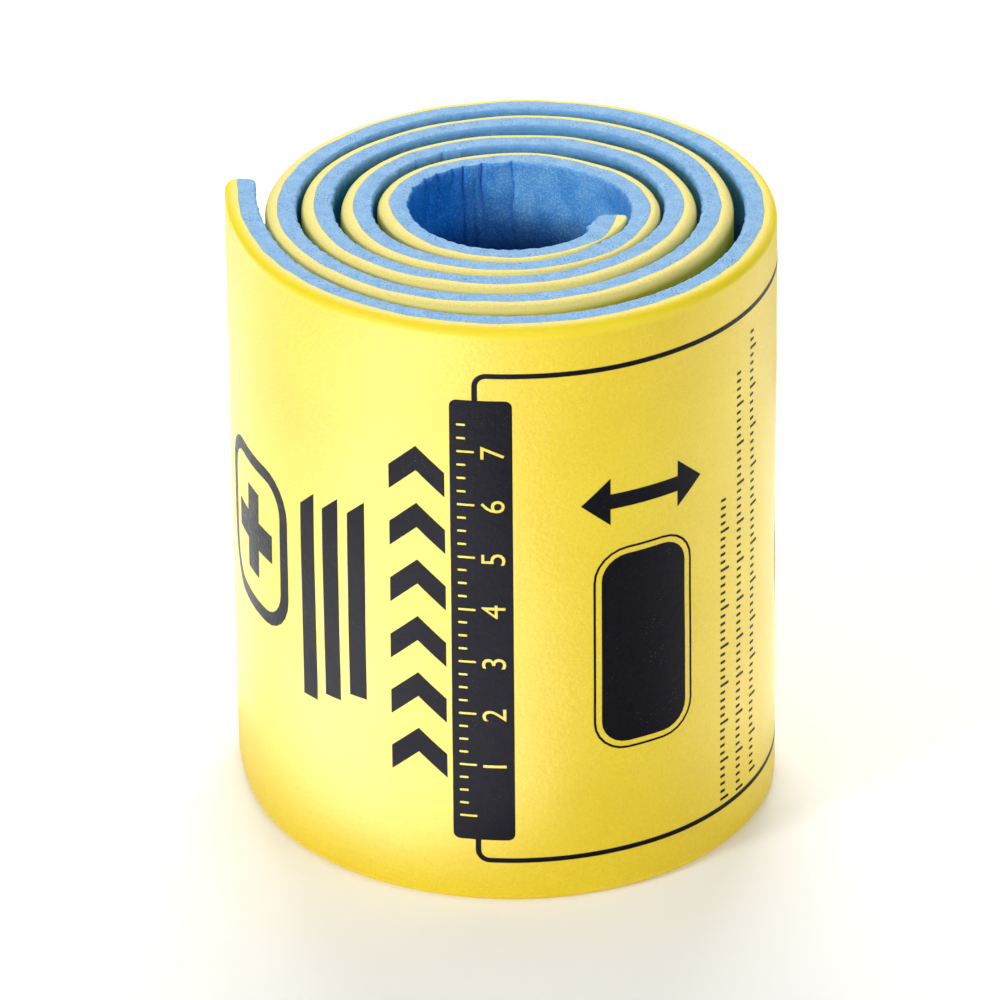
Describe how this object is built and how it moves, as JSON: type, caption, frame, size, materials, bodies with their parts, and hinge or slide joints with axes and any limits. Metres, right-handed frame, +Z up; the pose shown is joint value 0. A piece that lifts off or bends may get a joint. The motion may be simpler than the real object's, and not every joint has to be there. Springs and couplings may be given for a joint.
{
  "type": "rolled moldable splint",
  "caption": "Long strip of bonded foam layers, yellow outside and blue inside, wound into a loose standing roll; it is unrolled and bent to hold a limb still.",
  "frame": {"origin": "middle of the roll's footprint on the surface that it stands on", "axes": "+Z up along the roll's axis, -Y towards the printed front, the free outer end at -X"},
  "size_m": [0.0956, 0.094, 0.11],
  "materials": {
    "yellow_foam": "closed-cell foam skin, fine pebbled satin",
    "blue_foam": "closed-cell foam, deep blue skin with tiny bright specks and pale porous cut edges",
    "black_print": "screen-printed ink, slightly worn"
  },
  "bodies": {
    "root": {"yellow_foam": "yellow_foam", "blue_foam": "blue_foam"}
  },
  "joints": []
}
